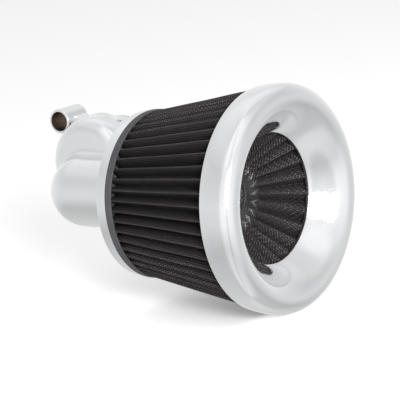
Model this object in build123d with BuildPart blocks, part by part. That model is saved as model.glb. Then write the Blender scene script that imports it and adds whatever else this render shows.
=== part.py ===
"""Motorcycle air cleaner: a cone filter with a bell mouth, carried by a cast elbow.

Frame: origin at the centre of the throttle face. +X runs along the filter towards its bell mouth,
+Y points into the throttle body, +Z is up. Millimetres.
"""

import os
from math import cos, radians, sin

from build123d import *

os.makedirs("parts", exist_ok=True)

# ---------------------------------------------------------------- driving dimensions
# Filter axis, parallel to X
FILTER_Y = -48.0
FILTER_Z = -17.0

# Elbow casting
TUBE_RADIUS = 26.2
TUBE_BORE = 23.0
HOOD_RADIUS = 34.5
HOOD_WALL = 3.0
HOOD_REAR = 21.5  # the hood's open rim, in front of the throttle face
HOOD_FRONT = 46.5
HOOD_EDGE = 11.5  # rounding of the hood's front edge
FLANGE_REAR = 55.5
FLANGE_FRONT = 63.5
FLANGE_RADIUS = 59.0
FLANGE_FILLET = 4.0
SHOULDER_START = 44.0  # where the shoulder's cone starts inside the bulb, in front of the throttle face
SHOULDER_START_Z = -15.5
SHOULDER_INSET = 1.2
RIM_INSET = 0.3
REGISTER_RADIUS = 38.0  # raised ring that centres the filter's base
REGISTER_HEIGHT = 3.0
SPIDER_THREAD_DEPTH = 4.0

# Backing plate
GASKET = 0.8
THROTTLE_BORE = 21.0
NECK_RADIUS = 29.2
SHOULDER_RADIUS = 33.2
SHOULDER_WIDTH = 2.0
SPIGOT_LENGTH = 8.0
SPIGOT_O_RING = 1.6
O_RING_FROM_FRONT = 1.2
THROTTLE_SCREWS = 3
THROTTLE_SCREW_CIRCLE = 26.0
THROTTLE_SCREW_HOLE = 2.75
THROTTLE_SCREW_POCKET = 4.6
THROTTLE_SCREW_CLAMP = 20.0  # metal left under each screw head
PLATE_UPRIGHT = 83.0  # angle of the plate's own upright about the throttle axis

# Breather lugs
LUG_RADIUS = 9.1
LUG_BORE = 7.2
LUG_REACH = 47.5  # throttle axis to lug axis
LUG_SPREAD = 60.0  # each lug's angle away from the plate's upright
LUG_FRONT = 26.0
LUG_REAR = 3.0
LUG_RIM = 0.8
ARM_FRONT = 17.5
ARM_REAR = 4.0
ARM_WIDTH = 15.0
GALLERY_RADIUS = 2.5

# Grub screws that hold the hood on the plate's spigot
GRUB_RADIUS = 2.0
GRUB_ANGLES = (60.0, 180.0, 300.0)
GRUB_FROM_RIM = 2.8
GRUB_DIMPLE = 1.0
GRUB_SOCKET = 2.0  # hexagon across flats
GRUB_SOCKET_DEPTH = 1.6

# Filter cone, x along its axis
BASE_REAR = FLANGE_FRONT
BASE_RADIUS = 60.0
CONE_REAR = 69.0
CONE_FRONT = 159.0
CONE_REAR_RADIUS = 59.5
CONE_FRONT_RADIUS = 76.5
CONE_PLEAT_DEPTH = 9.5  # at the rear end
CONE_PLEATS = 50

# Inverted cone inside the bell mouth
TIP_X = 131.0
THROAT_X = 161.0
TIP_RADIUS = 20.0
THROAT_RADIUS = 45.5
TIP_PLEAT_DEPTH = 6.0
THROAT_PLEAT_DEPTH = 8.5
THROAT_PLEATS = 24

# Layers of the pleated packs, measured square to the filter axis
MESH_LAYER = 0.8
GAUZE_LAYER = 2.2

# Bell mouth
BELL_REAR_X = 158.5
BELL_REAR_RADIUS = 78.2
BELL_RADIUS = 79.6
BELL_LIP = 10.0
BELL_LIP_X = 174.0
BELL_SHEET = 1.6
BELL_SKIRT_BULGE = 0.5
BELL_THROAT_X = 163.5
BELL_THROAT_FLARE = (5.5, 6.5)  # along and out, as the funnel leaves the throat's edge
CAP_STEP_RADIUS = 58.5

# Tip of the inverted cone
TIP_CAP_RADIUS = 29.5
TIP_CAP_REAR = 125.0
TIP_RECESS_RADIUS = 14.0
TIP_RECESS = 3.0
CLAMP_PLATE_RADIUS = 18.0
CLAMP_PLATE_THICKNESS = 2.5

# Centre bolt, and the post that it screws into
BOLT_RADIUS = 4.0
BOLT_HEAD_RADIUS = 9.5
BOLT_HEAD_HEIGHT = 4.0
BOLT_HEAD_BAND = 3.0
BOLT_LENGTH = 26.0
BOLT_KEY_RADIUS = 3.0
BOLT_KEY_DEPTH = 3.0
POST_RADIUS = 6.5
POST_THREAD_DEPTH = 24.0
BOLT_SEAL_RADIUS = 9.0
BOLT_SEAL = 0.8
WASHER_RADIUS = 12.5
WASHER = 1.2

# Spider in the elbow's outlet
SPIDER = 3.0
SPIDER_RADIUS = 34.0
SPIDER_INNER = 28.5
SPIDER_HUB = 9.0
SPIDER_HUB_HEIGHT = 8.0
SPIDER_ARMS = 3
SPIDER_ARM = 6.0
SPIDER_SCREW_CIRCLE = 31.2
SPIDER_SCREW = 1.5
SPIDER_SCREW_HEAD = 2.5
SPIDER_SCREW_HEAD_HEIGHT = 1.6
SPIDER_SCREW_ANGLE = 30.0
SPIDER_ARM_ANGLE = 90.0

RUNNING = 0.05  # radial clearance of a running fit
OVERLAP = 1.0  # how far a cutter or an arm reaches past the edge it meets
FREE = 0.3  # clearance between pieces that part

# ---------------------------------------------------------------- worked-out dimensions
HOOD_DEPTH = HOOD_FRONT - HOOD_REAR
CHAMBER_RADIUS = HOOD_RADIUS - HOOD_WALL
SPIGOT_RADIUS = CHAMBER_RADIUS - RUNNING
SPIGOT_FRONT = HOOD_REAR + SPIGOT_LENGTH
O_RING_FRONT = SPIGOT_FRONT - O_RING_FROM_FRONT
O_RING_REAR = O_RING_FRONT - SPIGOT_O_RING
O_RING_INNER = SPIGOT_RADIUS - SPIGOT_O_RING / 2
LUG_ANGLES = (PLATE_UPRIGHT + LUG_SPREAD, PLATE_UPRIGHT - LUG_SPREAD)
GRUB_TIP = SPIGOT_RADIUS - GRUB_DIMPLE
REGISTER_FRONT = FLANGE_FRONT + REGISTER_HEIGHT
BASE_HOLE = REGISTER_RADIUS + FREE
SEAT_X = FLANGE_FRONT - SPIDER
FLARE = SPIDER_INNER - TUBE_BORE
HUB_REAR = SEAT_X - (SPIDER_HUB_HEIGHT - SPIDER) / 2
HUB_FRONT = HUB_REAR + SPIDER_HUB_HEIGHT
POST_END = TIP_CAP_REAR - CLAMP_PLATE_THICKNESS
TIP_SEAT = TIP_X - TIP_RECESS
WASHER_REAR = TIP_SEAT + BOLT_SEAL
HEAD_SEAT = WASHER_REAR + WASHER


# ---------------------------------------------------------------- planes and small helpers
def across_filter(x):
    """Plane square to the filter axis at x: local x is +Y, local y is +Z."""
    return Plane(origin=(x, FILTER_Y, FILTER_Z), x_dir=(0, 1, 0), z_dir=(1, 0, 0))


def across_throttle(depth):
    """Plane square to the throttle axis, depth in front of the throttle face, facing away from it."""
    return Plane(origin=(0, -depth, 0), x_dir=(1, 0, 0), z_dir=(0, -1, 0))


def out_of_throttle_axis(angle, radius, depth):
    """Plane that faces straight away from the throttle axis at an angle, radius away from it."""
    x, z = on_circle(radius, angle)
    outward = (cos(radians(angle)), 0, sin(radians(angle)))
    return Plane(origin=(x, -depth, z), x_dir=(0, 1, 0), z_dir=outward)


def across_grub(angle, radius):
    """Plane across a grub screw, facing straight away from the throttle axis."""
    return out_of_throttle_axis(angle, radius, HOOD_REAR + GRUB_FROM_RIM)


def on_circle(radius, angle):
    return (radius * cos(radians(angle)), radius * sin(radians(angle)))


# Half plane for turned profiles of the filter: local x is +X, local y is the radius
FILTER_PROFILE = Plane(origin=(0, FILTER_Y, FILTER_Z), x_dir=(1, 0, 0), z_dir=(0, -1, 0))
FILTER_AXIS = Axis((0, FILTER_Y, FILTER_Z), (1, 0, 0))


def disc(x, thickness, radius, hole=0.0, mode=Mode.ADD):
    """Disc or washer on the filter axis, from x towards the mouth."""
    with BuildSketch(across_filter(x)) as face:
        Circle(radius)
        if hole:
            Circle(hole, mode=Mode.SUBTRACT)
    extrude(face.sketch, amount=thickness, mode=mode)


def throttle_disc(depth, thickness, radius, hole=0.0, mode=Mode.ADD):
    """Disc or ring on the throttle axis, from depth away from the throttle."""
    with BuildSketch(across_throttle(depth)) as face:
        Circle(radius)
        if hole:
            Circle(hole, mode=Mode.SUBTRACT)
    extrude(face.sketch, amount=thickness, mode=mode)


def shoulder(tube, hood, mode=Mode.ADD):
    """Skewed cone from inside a ball of the tube's radius to just inside the hood's rim."""
    with BuildSketch(across_throttle(SHOULDER_START)) as small:
        with Locations((0, SHOULDER_START_Z)):
            Circle(tube - SHOULDER_INSET)
    with BuildSketch(across_throttle(HOOD_REAR)) as large:
        Circle(hood - RIM_INSET)
    loft([small.sketch.face(), large.sketch.face()], ruled=True, mode=mode)


def star(count, outer, inner):
    """Zigzag outline of a pleated ring: count folds between the outer and the inner radius."""
    points = []
    for fold in range(count):
        points.append(on_circle(outer, 360 * fold / count))
        points.append(on_circle(inner, 360 * (fold + 0.5) / count))
    return points


def pleated_solid(count, ends, inset, mode=Mode.ADD):
    """Solid between two zigzag outlines, each (x, outer radius, inner radius), drawn in by inset."""
    outlines = []
    for x, outer, inner in ends:
        with BuildSketch(across_filter(x)) as outline:
            with BuildLine():
                Polyline(*star(count, outer - inset, inner - inset), close=True)
            make_face()
        outlines.append(outline.sketch.face())
    loft(outlines, ruled=True, mode=mode)


def write(part, name):
    part.label = name
    export_step(part, f"parts/{name}.step")


# ---------------------------------------------------------------- elbow casting
with BuildPart() as elbow_housing:
    # hood over the throttle opening
    throttle_disc(HOOD_REAR, HOOD_DEPTH, HOOD_RADIUS)
    fillet(elbow_housing.edges().filter_by(GeomType.CIRCLE).sort_by(Axis.Y)[0], HOOD_EDGE)
    # shoulder that widens from inside the bulb to the hood's rim
    shoulder(TUBE_RADIUS, HOOD_RADIUS)
    # bulb, tube, filter flange and register, turned about the filter axis
    with BuildSketch(FILTER_PROFILE):
        with BuildLine():
            RadiusArc((-TUBE_RADIUS, 0), (0, TUBE_RADIUS), TUBE_RADIUS)
            Line((0, TUBE_RADIUS), (FLANGE_REAR - FLANGE_FILLET, TUBE_RADIUS))
            RadiusArc(
                (FLANGE_REAR - FLANGE_FILLET, TUBE_RADIUS),
                (FLANGE_REAR, TUBE_RADIUS + FLANGE_FILLET),
                -FLANGE_FILLET,
            )
            Polyline(
                (FLANGE_REAR, TUBE_RADIUS + FLANGE_FILLET),
                (FLANGE_REAR, FLANGE_RADIUS),
                (FLANGE_FRONT, FLANGE_RADIUS),
                (FLANGE_FRONT, REGISTER_RADIUS),
                (REGISTER_FRONT, REGISTER_RADIUS),
                (REGISTER_FRONT, 0),
                (-TUBE_RADIUS, 0),
            )
        make_face()
    revolve(axis=FILTER_AXIS)
    # air passage: chamber under the hood, shoulder, then the tube with its flared outlet
    # and the spider's seat
    throttle_disc(HOOD_REAR, HOOD_DEPTH - HOOD_WALL, CHAMBER_RADIUS, mode=Mode.SUBTRACT)
    shoulder(TUBE_BORE, CHAMBER_RADIUS, Mode.SUBTRACT)
    with BuildSketch(FILTER_PROFILE):
        with BuildLine():
            RadiusArc((-TUBE_BORE, 0), (0, TUBE_BORE), TUBE_BORE)
            Line((0, TUBE_BORE), (SEAT_X - FLARE, TUBE_BORE))
            RadiusArc((SEAT_X - FLARE, TUBE_BORE), (SEAT_X, SPIDER_INNER), -FLARE)
            Polyline(
                (SEAT_X, SPIDER_INNER),
                (SEAT_X, SPIDER_RADIUS),
                (REGISTER_FRONT, SPIDER_RADIUS),
                (REGISTER_FRONT, 0),
                (-TUBE_BORE, 0),
            )
        make_face()
    revolve(axis=FILTER_AXIS, mode=Mode.SUBTRACT)
    # threads for the spider's screws
    with BuildSketch(across_filter(SEAT_X)):
        with PolarLocations(SPIDER_SCREW_CIRCLE, SPIDER_ARMS, start_angle=SPIDER_SCREW_ANGLE):
            Circle(SPIDER_SCREW)
    extrude(amount=-SPIDER_THREAD_DEPTH, mode=Mode.SUBTRACT)
    # threads for the grub screws
    for angle in GRUB_ANGLES:
        with BuildSketch(across_grub(angle, GRUB_TIP)):
            Circle(GRUB_RADIUS)
        extrude(amount=2 * HOOD_WALL + GRUB_DIMPLE, mode=Mode.SUBTRACT)
write(elbow_housing.part, "elbow_housing")

# ---------------------------------------------------------------- backing plate
with BuildPart() as backing_plate:
    throttle_disc(GASKET, HOOD_REAR - GASKET, NECK_RADIUS)
    throttle_disc(HOOD_REAR - SHOULDER_WIDTH, SHOULDER_WIDTH, SHOULDER_RADIUS)
    throttle_disc(HOOD_REAR, SPIGOT_LENGTH, SPIGOT_RADIUS)
    # arms out to the breather lugs
    for angle in LUG_ANGLES:
        with BuildSketch(across_throttle(ARM_REAR)):
            with Locations(on_circle(LUG_REACH / 2, angle)):
                SlotCenterToCenter(LUG_REACH, ARM_WIDTH, rotation=angle)
        extrude(amount=ARM_FRONT - ARM_REAR)
        with BuildSketch(across_throttle(LUG_REAR)):
            with Locations(on_circle(LUG_REACH, angle)):
                Circle(LUG_RADIUS)
        extrude(amount=LUG_FRONT - LUG_REAR)
    # softened lug rims
    lug_edges = backing_plate.edges().filter_by(GeomType.CIRCLE).group_by(SortBy.RADIUS)[0]
    by_depth = lug_edges.group_by(Axis.Y)
    fillet(by_depth[0] + by_depth[-1], LUG_RIM)
    # throttle opening, and screw holes with deep pockets for their heads
    throttle_disc(0, SPIGOT_FRONT, THROTTLE_BORE, mode=Mode.SUBTRACT)
    for radius, rear in (
        (THROTTLE_SCREW_HOLE, 0),
        (THROTTLE_SCREW_POCKET, THROTTLE_SCREW_CLAMP),
    ):
        with BuildSketch(across_throttle(rear)):
            with PolarLocations(THROTTLE_SCREW_CIRCLE, THROTTLE_SCREWS, start_angle=PLATE_UPRIGHT):
                Circle(radius)
        extrude(amount=SPIGOT_FRONT - rear, mode=Mode.SUBTRACT)
    # lug bores, each with a breather gallery to the throttle opening
    for angle in LUG_ANGLES:
        with BuildSketch(across_throttle(LUG_REAR)):
            with Locations(on_circle(LUG_REACH, angle)):
                Circle(LUG_BORE)
        extrude(amount=LUG_FRONT - LUG_REAR, mode=Mode.SUBTRACT)
        with BuildSketch(out_of_throttle_axis(angle, 0, (ARM_FRONT + ARM_REAR) / 2)):
            Circle(GALLERY_RADIUS)
        extrude(amount=LUG_REACH, mode=Mode.SUBTRACT)
    # groove for the spigot's O-ring
    throttle_disc(O_RING_REAR, SPIGOT_O_RING, SPIGOT_RADIUS + OVERLAP, O_RING_INNER, Mode.SUBTRACT)
    # dimples for the grub screws
    for angle in GRUB_ANGLES:
        with BuildSketch(across_grub(angle, GRUB_TIP)):
            Circle(GRUB_RADIUS)
        extrude(amount=2 * GRUB_DIMPLE, mode=Mode.SUBTRACT)
write(backing_plate.part, "backing_plate")

with BuildPart() as throttle_gasket:
    throttle_disc(0, GASKET, NECK_RADIUS, THROTTLE_BORE)
    with BuildSketch(across_throttle(0)):
        with PolarLocations(THROTTLE_SCREW_CIRCLE, THROTTLE_SCREWS, start_angle=PLATE_UPRIGHT):
            Circle(THROTTLE_SCREW_HOLE)
    extrude(amount=GASKET, mode=Mode.SUBTRACT)
write(throttle_gasket.part, "throttle_gasket")

with BuildPart() as spigot_o_ring:
    throttle_disc(O_RING_REAR, SPIGOT_O_RING, CHAMBER_RADIUS, O_RING_INNER)
write(spigot_o_ring.part, "spigot_o_ring")

with BuildPart() as hood_grub_screws:
    for angle in GRUB_ANGLES:
        with BuildSketch(across_grub(angle, GRUB_TIP)):
            Circle(GRUB_RADIUS)
        extrude(amount=HOOD_WALL + GRUB_DIMPLE / 2)
        with BuildSketch(across_grub(angle, HOOD_RADIUS)):
            RegularPolygon(GRUB_SOCKET / 2, 6, major_radius=False)
        extrude(amount=-GRUB_SOCKET_DEPTH - GRUB_DIMPLE / 2, mode=Mode.SUBTRACT)
write(hood_grub_screws.part, "hood_grub_screws")

# ---------------------------------------------------------------- spider and post in the elbow's outlet
with BuildPart() as spider:
    disc(SEAT_X, SPIDER, SPIDER_RADIUS - RUNNING, SPIDER_INNER)
    disc(HUB_REAR, SPIDER_HUB_HEIGHT, SPIDER_HUB)
    for arm in range(SPIDER_ARMS):
        with BuildSketch(across_filter(SEAT_X)):
            with Locations(Location((0, 0), SPIDER_ARM_ANGLE + 360 / SPIDER_ARMS * arm)):
                Rectangle(SPIDER_INNER + OVERLAP, SPIDER_ARM, align=(Align.MIN, Align.CENTER))
        extrude(amount=SPIDER)
    disc(HUB_REAR, SPIDER_HUB_HEIGHT, BOLT_RADIUS, mode=Mode.SUBTRACT)
    with BuildSketch(across_filter(SEAT_X)):
        with PolarLocations(SPIDER_SCREW_CIRCLE, SPIDER_ARMS, start_angle=SPIDER_SCREW_ANGLE):
            Circle(SPIDER_SCREW)
    extrude(amount=SPIDER, mode=Mode.SUBTRACT)
write(spider.part, "spider")

with BuildPart() as spider_screws:
    for x, length, radius, mode in (
        (SEAT_X - SPIDER_THREAD_DEPTH, SPIDER + SPIDER_THREAD_DEPTH, SPIDER_SCREW, Mode.ADD),
        (FLANGE_FRONT, SPIDER_SCREW_HEAD_HEIGHT, SPIDER_SCREW_HEAD, Mode.ADD),
    ):
        with BuildSketch(across_filter(x)):
            with PolarLocations(SPIDER_SCREW_CIRCLE, SPIDER_ARMS, start_angle=SPIDER_SCREW_ANGLE):
                Circle(radius)
        extrude(amount=length, mode=mode)
    with BuildSketch(across_filter(FLANGE_FRONT + SPIDER_SCREW_HEAD_HEIGHT)):
        with PolarLocations(SPIDER_SCREW_CIRCLE, SPIDER_ARMS, start_angle=SPIDER_SCREW_ANGLE):
            RegularPolygon(SPIDER_SCREW_HEAD / 2, 6, major_radius=False)
    extrude(amount=-SPIDER_SCREW_HEAD_HEIGHT / 2, mode=Mode.SUBTRACT)
write(spider_screws.part, "spider_screws")

with BuildPart() as filter_post:
    disc(HUB_REAR, SPIDER_HUB_HEIGHT, BOLT_RADIUS)
    disc(HUB_FRONT, POST_END - HUB_FRONT, POST_RADIUS)
    disc(POST_END, -POST_THREAD_DEPTH, BOLT_RADIUS + RUNNING, mode=Mode.SUBTRACT)
write(filter_post.part, "filter_post")

# ---------------------------------------------------------------- filter: moulded ends
with BuildPart() as base_ring:
    disc(BASE_REAR, CONE_REAR - BASE_REAR, BASE_RADIUS, BASE_HOLE)
write(base_ring.part, "base_ring")

with BuildPart() as front_end_cap:
    with BuildSketch(FILTER_PROFILE):
        with BuildLine():
            Polyline(
                (THROAT_X, THROAT_RADIUS),
                (BELL_THROAT_X, THROAT_RADIUS),
                (BELL_THROAT_X, CONE_FRONT_RADIUS),
                (CONE_FRONT, CONE_FRONT_RADIUS),
                (CONE_FRONT, CAP_STEP_RADIUS),
                (THROAT_X, CAP_STEP_RADIUS),
                close=True,
            )
        make_face()
    revolve(axis=FILTER_AXIS)
write(front_end_cap.part, "front_end_cap")

with BuildPart() as tip_cap:
    disc(TIP_CAP_REAR, TIP_X - TIP_CAP_REAR, TIP_CAP_RADIUS)
    disc(TIP_SEAT, TIP_RECESS, TIP_RECESS_RADIUS, mode=Mode.SUBTRACT)
    disc(TIP_CAP_REAR, TIP_SEAT - TIP_CAP_REAR, BOLT_RADIUS + FREE, mode=Mode.SUBTRACT)
write(tip_cap.part, "tip_cap")

with BuildPart() as clamp_plate:
    disc(POST_END, CLAMP_PLATE_THICKNESS, CLAMP_PLATE_RADIUS, BOLT_RADIUS + FREE)
write(clamp_plate.part, "clamp_plate")

# ---------------------------------------------------------------- filter: pleated packs
CONE_TAPER = CONE_FRONT_RADIUS / CONE_REAR_RADIUS
CONE_ENDS = (
    (CONE_REAR, CONE_REAR_RADIUS, CONE_REAR_RADIUS - CONE_PLEAT_DEPTH),
    (CONE_FRONT, CONE_FRONT_RADIUS, CONE_FRONT_RADIUS - CONE_PLEAT_DEPTH * CONE_TAPER),
)
PACK = 2 * MESH_LAYER + GAUZE_LAYER
THROAT_ENDS = (
    (TIP_X, TIP_RADIUS + TIP_PLEAT_DEPTH + PACK, TIP_RADIUS + PACK),
    (THROAT_X, THROAT_RADIUS + THROAT_PLEAT_DEPTH + PACK, THROAT_RADIUS + PACK),
)
# name, inset of the layer's outer face, inset of its inner face
LAYERS = (
    ("outer_mesh", 0, MESH_LAYER),
    ("gauze", MESH_LAYER, MESH_LAYER + GAUZE_LAYER),
    ("inner_mesh", MESH_LAYER + GAUZE_LAYER, PACK),
)
for pack, count, ends in (("cone", CONE_PLEATS, CONE_ENDS), ("throat", THROAT_PLEATS, THROAT_ENDS)):
    for layer, outside, inside in LAYERS:
        with BuildPart() as pleats:
            pleated_solid(count, ends, outside)
            pleated_solid(count, ends, inside, Mode.SUBTRACT)
        write(pleats.part, f"{pack}_{layer}")

# ---------------------------------------------------------------- bell mouth
LIP_CENTRE = BELL_RADIUS - BELL_LIP
BELL_FRONT_X = BELL_LIP_X + BELL_LIP


def bell_curve(sheet):
    """Skirt, lip and funnel of the bell, moved into the metal by sheet."""
    rear = (BELL_REAR_X, BELL_REAR_RADIUS - sheet)
    widest = (BELL_LIP_X, BELL_RADIUS - sheet)
    crest = (BELL_FRONT_X - sheet, LIP_CENTRE)
    throat = (BELL_THROAT_X, THROAT_RADIUS + sheet)
    SagittaArc(rear, widest, BELL_SKIRT_BULGE)
    RadiusArc(widest, crest, BELL_LIP - sheet)
    flare = (throat[0] + BELL_THROAT_FLARE[0], throat[1] + BELL_THROAT_FLARE[1])
    Bezier(crest, (crest[0], LIP_CENTRE - BELL_LIP), flare, throat)
    return rear, throat


with BuildPart() as bell_mouth:
    with BuildSketch(FILTER_PROFILE):
        with BuildLine():
            outer_rear, outer_throat = bell_curve(0)
            inner_rear, inner_throat = bell_curve(BELL_SHEET)
            Line(outer_rear, inner_rear)
            Line(outer_throat, inner_throat)
        make_face()
    revolve(axis=FILTER_AXIS)
write(bell_mouth.part, "bell_mouth")

# ---------------------------------------------------------------- centre bolt
with BuildPart() as bolt_seal:
    disc(TIP_SEAT, BOLT_SEAL, BOLT_SEAL_RADIUS, BOLT_RADIUS + FREE)
write(bolt_seal.part, "bolt_seal")

with BuildPart() as bolt_washer:
    disc(WASHER_REAR, WASHER, WASHER_RADIUS, BOLT_RADIUS + RUNNING)
write(bolt_washer.part, "bolt_washer")

with BuildPart() as centre_bolt:
    disc(HEAD_SEAT - BOLT_LENGTH, BOLT_LENGTH, BOLT_RADIUS)
    with BuildSketch(FILTER_PROFILE):
        with BuildLine():
            band = (HEAD_SEAT + BOLT_HEAD_BAND, BOLT_HEAD_RADIUS)
            crown = (HEAD_SEAT + BOLT_HEAD_HEIGHT, 0)
            dome = BOLT_HEAD_HEIGHT - BOLT_HEAD_BAND
            Polyline(crown, (HEAD_SEAT, 0), (HEAD_SEAT, BOLT_HEAD_RADIUS), band)
            RadiusArc(band, crown, (BOLT_HEAD_RADIUS**2 + dome**2) / (2 * dome))
        make_face()
    revolve(axis=FILTER_AXIS)
    with BuildSketch(across_filter(HEAD_SEAT + BOLT_HEAD_HEIGHT)):
        RegularPolygon(BOLT_KEY_RADIUS, 6, major_radius=False)
    extrude(amount=-BOLT_KEY_DEPTH, mode=Mode.SUBTRACT)
write(centre_bolt.part, "centre_bolt")
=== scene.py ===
"""Finished look of a motorcycle air cleaner: a chromed elbow, a pleated cone filter and its bell mouth."""

from math import asin, cos, pi, radians, sin

import bpy
import numpy as np
from bpy.props import FloatProperty, FloatVectorProperty, IntProperty, PointerProperty, StringProperty
from bpy.types import Operator, Panel, PropertyGroup
from mathutils import Matrix, Vector


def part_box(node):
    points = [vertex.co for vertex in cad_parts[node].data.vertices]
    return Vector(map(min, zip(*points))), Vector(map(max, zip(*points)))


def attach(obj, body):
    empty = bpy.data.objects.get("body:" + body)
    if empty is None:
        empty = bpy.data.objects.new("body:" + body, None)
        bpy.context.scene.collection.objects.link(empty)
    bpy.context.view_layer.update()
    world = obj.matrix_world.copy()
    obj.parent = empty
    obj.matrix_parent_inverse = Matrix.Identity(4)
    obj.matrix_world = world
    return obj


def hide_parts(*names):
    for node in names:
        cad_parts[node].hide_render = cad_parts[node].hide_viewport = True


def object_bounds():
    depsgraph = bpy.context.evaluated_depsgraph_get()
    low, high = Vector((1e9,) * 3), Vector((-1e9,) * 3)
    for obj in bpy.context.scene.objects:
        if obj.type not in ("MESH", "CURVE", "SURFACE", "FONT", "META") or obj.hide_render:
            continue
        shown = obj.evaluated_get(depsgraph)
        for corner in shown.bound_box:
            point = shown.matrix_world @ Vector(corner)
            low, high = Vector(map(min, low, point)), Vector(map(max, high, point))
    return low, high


bl_info = {
    "name": "Motorcycle air cleaner",
    "version": (1, 0, 0),
    "blender": (4, 5, 0),
    "location": "3D View > Sidebar > Air cleaner",
    "description": "Builds the finished pieces of a cone filter with a bell mouth on its cast elbow",
    "category": "Object",
}

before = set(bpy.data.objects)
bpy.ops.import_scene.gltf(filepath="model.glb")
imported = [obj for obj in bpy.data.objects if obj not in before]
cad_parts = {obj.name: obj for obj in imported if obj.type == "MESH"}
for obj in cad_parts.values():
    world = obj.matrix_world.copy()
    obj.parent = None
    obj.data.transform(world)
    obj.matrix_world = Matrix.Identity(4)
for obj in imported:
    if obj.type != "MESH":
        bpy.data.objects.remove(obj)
CAD_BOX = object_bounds()


def middle(node):
    """Centre of a CAD node's box."""
    low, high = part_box(node)
    return (low + high) / 2


AXIS_Y, AXIS_Z = middle("bell_mouth")[1:]
# breather lugs of the backing plate, about the throttle axis
LUG_REACH, LUG_BORE = 0.0475, 0.0072
PLATE_UPRIGHT, LUG_SPREAD = radians(83), radians(60)
LUG_ANGLES = (PLATE_UPRIGHT + LUG_SPREAD, PLATE_UPRIGHT - LUG_SPREAD)


# ---------------------------------------------------------------- sizes and colours
def length(name, description, default):
    return FloatProperty(name=name, description=description, default=default, precision=4, unit="LENGTH")


def colour(name, description, default):
    return StringProperty(name=name, description=description + ", as an sRGB hex value", default=default)


class ElbowSizes(PropertyGroup):
    tube_radius: length("Tube radius", "Outside of the bulb and tube", 0.0262)
    tube_bore: length("Tube bore", "Inside of the bulb and tube", 0.0230)
    hood_radius: length("Hood radius", "Outside of the hood over the throttle opening", 0.0345)
    hood_wall: length("Hood wall", "Thickness of the hood", 0.0030)
    hood_rear: length("Hood rear", "Depth of the hood's open rim", 0.0215)
    hood_front: length("Hood front", "Depth of the hood's face", 0.0465)
    hood_edge: length("Hood edge", "Rounding of the hood's front edge", 0.0115)
    rim_edge: length("Rim edge", "Rounding of the hood's rim", 0.0010)
    fillet: length("Casting fillet", "Reach of the fillets where the bodies of the casting meet", 0.0050)
    flange_rear: length("Flange rear", "Rear face of the filter flange", 0.0555)
    flange_front: length("Flange front", "Front face of the filter flange", 0.0635)
    flange_radius: length("Flange radius", "Outside of the filter flange", 0.0590)
    flange_fillet: length("Flange fillet", "Fillet between the tube and the flange", 0.0040)
    flange_edge: length("Flange edge", "Rounding of the flange's edges", 0.0010)
    register_radius: length("Register radius", "Raised ring that centres the filter", 0.0380)
    register_height: length("Register height", "Height of the raised ring", 0.0030)
    seat_radius: length("Seat radius", "Recess for the spider", 0.0340)
    seat_depth: length("Seat depth", "Depth of the spider's recess", 0.0030)
    flare: length("Flare", "Rounding of the tube's outlet", 0.0055)
    grub_radius: length("Grub screw radius", "Threaded holes in the hood's rim", 0.0020)


class PackSizes(PropertyGroup):
    cone_pleats: IntProperty(name="Cone pleats", description="Folds round the cone", default=50)
    cone_rear: length("Cone rear", "Rear end of the cone", 0.0690)
    cone_front: length("Cone front", "Front end of the cone", 0.1590)
    cone_rear_radius: length("Cone rear radius", "Crest of the folds at the rear", 0.0595)
    cone_front_radius: length("Cone front radius", "Crest of the folds at the front", 0.0765)
    cone_depth: length("Cone pleat depth", "Height of the folds at the rear", 0.0095)
    throat_pleats: IntProperty(name="Throat pleats", description="Folds round the inner cone", default=24)
    tip: length("Tip", "Rear end of the inner cone", 0.1310)
    throat: length("Throat", "Front end of the inner cone", 0.1610)
    tip_radius: length("Tip radius", "Root of the folds at the tip", 0.0200)
    throat_radius: length("Throat radius", "Root of the folds at the throat", 0.0455)
    tip_depth: length("Tip pleat depth", "Height of the folds at the tip", 0.0060)
    throat_depth: length("Throat pleat depth", "Height of the folds at the throat", 0.0085)
    mesh_layer: length("Wire cloth", "Thickness of each wire cloth layer", 0.0008)
    gauze_layer: length("Gauze", "Thickness of the cotton gauze", 0.0022)
    bare_wire: length("Bare wire", "Length of bright cut wire at the tip", 0.0030)
    tuck: length("Tuck", "How far the cone's folds stand in the base ring", 0.0038)
    unevenness: length("Unevenness", "How far the folds wander from an even spacing", 0.0004)


class BellSizes(PropertyGroup):
    rear: length("Rear edge", "Rear edge of the skirt", 0.1585)
    rear_radius: length("Rear radius", "Radius of the skirt's rear edge", 0.0782)
    widest: length("Widest point", "Where the skirt is widest", 0.1740)
    radius: length("Bell radius", "Largest radius", 0.0796)
    lip: length("Lip", "Radius of the rolled lip", 0.0100)
    throat: length("Throat edge", "Rear end of the funnel", 0.1635)
    throat_radius: length("Throat radius", "Radius at the rear end of the funnel", 0.0455)
    sheet: length("Sheet", "Thickness of the metal", 0.0016)
    bulge: length("Skirt bulge", "How far the skirt bows out", 0.0005)
    flare_along: length("Flare along", "Along the way in which the funnel leaves the throat", 0.0055)
    flare_out: length("Flare out", "Out along the way in which the funnel leaves the throat", 0.0065)


class EndSizes(PropertyGroup):
    base_rear: length("Base rear", "Face that meets the flange", 0.0635)
    base_front: length("Base front", "Face that the pleats stand in", 0.0690)
    base_lip: length("Base lip", "How far the rim stands over the pleats", 0.0003)
    base_well: length("Base well", "Depth of the well that the pleats stand in", 0.0038)
    base_radius: length("Base radius", "Outside of the base ring", 0.0600)
    base_hole: length("Base hole", "Opening of the base ring", 0.0383)
    tip_rear: length("Tip rear", "Rear face of the tip cap", 0.1250)
    tip_front: length("Tip front", "Face that the inner pleats stand in", 0.1310)
    tip_radius: length("Tip cap radius", "Outside of the tip cap", 0.0295)
    recess: length("Recess", "Face of the recess under the seal", 0.1280)
    recess_radius: length("Recess radius", "Side of the recess", 0.0140)
    bolt_hole: length("Bolt hole", "Radius of the bolt hole", 0.0043)
    edge: length("Moulded edge", "Rounding of the moulded edges", 0.0010)


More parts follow.
